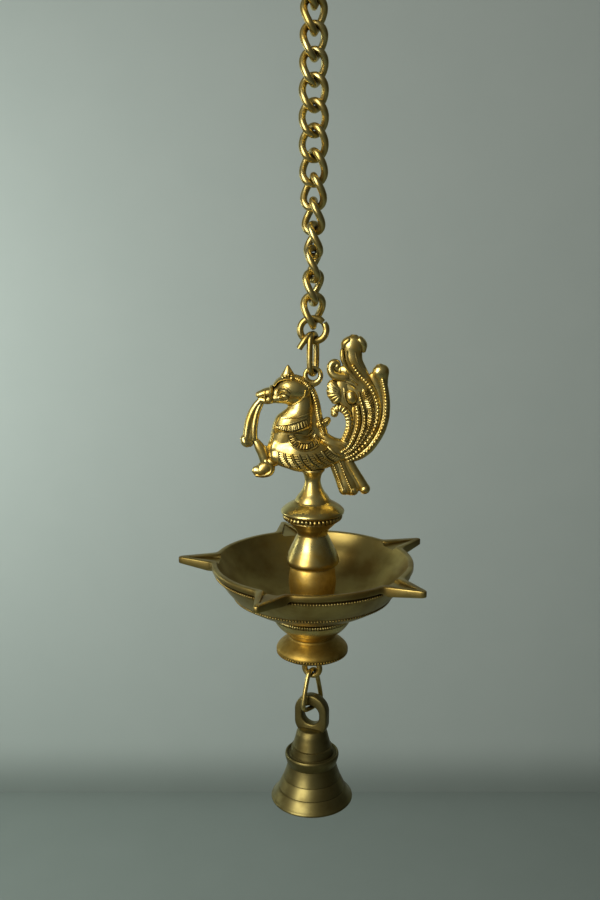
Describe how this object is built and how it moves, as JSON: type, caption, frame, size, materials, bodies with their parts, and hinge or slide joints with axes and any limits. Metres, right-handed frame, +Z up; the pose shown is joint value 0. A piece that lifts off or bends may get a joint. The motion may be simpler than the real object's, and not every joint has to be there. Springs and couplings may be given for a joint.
{
  "type": "hanging chain oil lamp",
  "caption": "Hanging brass oil lamp: twisted-link chain on a hook, peacock figure, turned stem, spouted oil bowl, cup, knob and a bell with a clapper below.",
  "frame": {"origin": "the spot inside the hook's upper loop where it rests on its rod", "axes": "+Z up along the chain, +Y away from the viewer, the peacock faces -X; the rod runs along X"},
  "size_m": [0.1113, 0.1141, 0.3894],
  "materials": {
    "chain_brass": "drawn wire, worn bright on the outside and dark inside the bends",
    "wire_brass": "drawn and bent wire, dull",
    "figure_brass": "sand cast and chased, bright high spots and dark recesses",
    "turned_brass": "cast and turned, aged",
    "bowl_brass": "cast, aged olive",
    "golden_brass": "cast and turned, warm golden",
    "bell_brass": "cast and turned, satin",
    "rod_steel": "threaded rod, hidden"
  },
  "bodies": {
    "s_hook": {"s_hook": "wire_brass"},
    "chain_link_01": {"chain_link_01": "chain_brass"},
    "chain_link_02": {"chain_link_02": "chain_brass"},
    "chain_link_03": {"chain_link_03": "chain_brass"},
    "chain_link_04": {"chain_link_04": "chain_brass"},
    "chain_link_05": {"chain_link_05": "chain_brass"},
    "chain_link_06": {"chain_link_06": "chain_brass"},
    "chain_link_07": {"chain_link_07": "chain_brass"},
    "chain_link_08": {"chain_link_08": "chain_brass"},
    "chain_link_09": {"chain_link_09": "chain_brass"},
    "chain_link_10": {"chain_link_10": "chain_brass"},
    "chain_link_11": {"chain_link_11": "chain_brass"},
    "chain_link_12": {"chain_link_12": "chain_brass"},
    "chain_link_13": {"chain_link_13": "chain_brass"},
    "chain_link_14": {"chain_link_14": "chain_brass"},
    "jump_ring": {"jump_ring": "wire_brass"},
    "oval_link": {"oval_link": "wire_brass"},
    "lamp": {"peacock": "figure_brass", "stem": "turned_brass", "bowl": "bowl_brass", "under_cup": "turned_brass", "bottom_knob": "golden_brass", "tie_rod": "rod_steel", "bell_eye": "wire_brass"},
    "bell_link": {"bell_link": "wire_brass"},
    "bell": {"bell": "bell_brass", "clapper_staple": "wire_brass"},
    "clapper": {"clapper": "bell_brass"}
  },
  "joints": [
    {"name": "link_01_swing", "type": "hinge", "parent": "s_hook", "child": "chain_link_01", "pos_m": [0, 0, -0.0331], "axis": [0, 1, 0], "range_deg": [-30, 30]},
    {"name": "link_02_swing", "type": "hinge", "parent": "chain_link_01", "child": "chain_link_02", "pos_m": [0, 0, -0.0392], "axis": [0.9978, -0.067, 0], "range_deg": [-30, 30]},
    {"name": "link_03_swing", "type": "hinge", "parent": "chain_link_02", "child": "chain_link_03", "pos_m": [0, 0, -0.0521], "axis": [-0.067, -0.9978, 0], "range_deg": [-30, 30]},
    {"name": "link_04_swing", "type": "hinge", "parent": "chain_link_03", "child": "chain_link_04", "pos_m": [0, 0, -0.0584], "axis": [-0.94, 0.3413, 0], "range_deg": [-30, 30]},
    {"name": "link_05_swing", "type": "hinge", "parent": "chain_link_04", "child": "chain_link_05", "pos_m": [0, 0, -0.0713], "axis": [0.3413, 0.94, 0], "range_deg": [-30, 30]},
    {"name": "link_06_swing", "type": "hinge", "parent": "chain_link_05", "child": "chain_link_06", "pos_m": [0, 0, -0.0776], "axis": [0.7321, -0.6812, 0], "range_deg": [-30, 30]},
    {"name": "link_07_swing", "type": "hinge", "parent": "chain_link_06", "child": "chain_link_07", "pos_m": [0, 0, -0.0905], "axis": [-0.6812, -0.7321, 0], "range_deg": [-30, 30]},
    {"name": "link_08_swing", "type": "hinge", "parent": "chain_link_07", "child": "chain_link_08", "pos_m": [0, 0, -0.0968], "axis": [-0.3236, 0.9462, 0], "range_deg": [-30, 30]},
    {"name": "link_09_swing", "type": "hinge", "parent": "chain_link_08", "child": "chain_link_09", "pos_m": [0, 0, -0.1097], "axis": [0.9462, 0.3236, 0], "range_deg": [-30, 30]},
    {"name": "link_10_swing", "type": "hinge", "parent": "chain_link_09", "child": "chain_link_10", "pos_m": [0, 0, -0.116], "axis": [-0.2366, -0.9716, 0], "range_deg": [-30, 30]},
    {"name": "link_11_swing", "type": "hinge", "parent": "chain_link_10", "child": "chain_link_11", "pos_m": [0, 0, -0.1289], "axis": [-0.9716, 0.2366, 0], "range_deg": [-30, 30]},
    {"name": "link_12_swing", "type": "hinge", "parent": "chain_link_11", "child": "chain_link_12", "pos_m": [0, 0, -0.1352], "axis": [0.7672, 0.6414, 0], "range_deg": [-30, 30]},
    {"name": "link_13_swing", "type": "hinge", "parent": "chain_link_12", "child": "chain_link_13", "pos_m": [0, 0, -0.1481], "axis": [0.6414, -0.7672, 0], "range_deg": [-30, 30]},
    {"name": "link_14_swing", "type": "hinge", "parent": "chain_link_13", "child": "chain_link_14", "pos_m": [0, 0, -0.1544], "axis": [-1, 0, 0], "range_deg": [-30, 30]},
    {"name": "ring_swing", "type": "hinge", "parent": "chain_link_14", "child": "jump_ring", "pos_m": [0, 0, -0.1673], "axis": [0, 1, 0], "range_deg": [-30, 30]},
    {"name": "oval_swing", "type": "hinge", "parent": "jump_ring", "child": "oval_link", "pos_m": [0, 0, -0.17355], "axis": [-1, 0, 0], "range_deg": [-25, 25]},
    {"name": "lamp_swing", "type": "hinge", "parent": "oval_link", "child": "lamp", "pos_m": [0, 0, -0.1873], "axis": [0.3746, 0.9272, 0], "range_deg": [-18, 18]},
    {"name": "bell_link_swing", "type": "hinge", "parent": "lamp", "child": "bell_link", "pos_m": [0, 0, -0.3253], "axis": [0.9272, -0.3746, 0], "range_deg": [-28, 28]},
    {"name": "bell_swing", "type": "hinge", "parent": "bell_link", "child": "bell", "pos_m": [0, 0, -0.34105], "axis": [-0.6428, -0.766, 0], "range_deg": [-30, 30]},
    {"name": "clapper_swing", "type": "hinge", "parent": "bell", "child": "clapper", "pos_m": [0, 0, -0.3609], "axis": [-0.9272, 0.3746, 0], "range_deg": [-22, 22]}
  ]
}
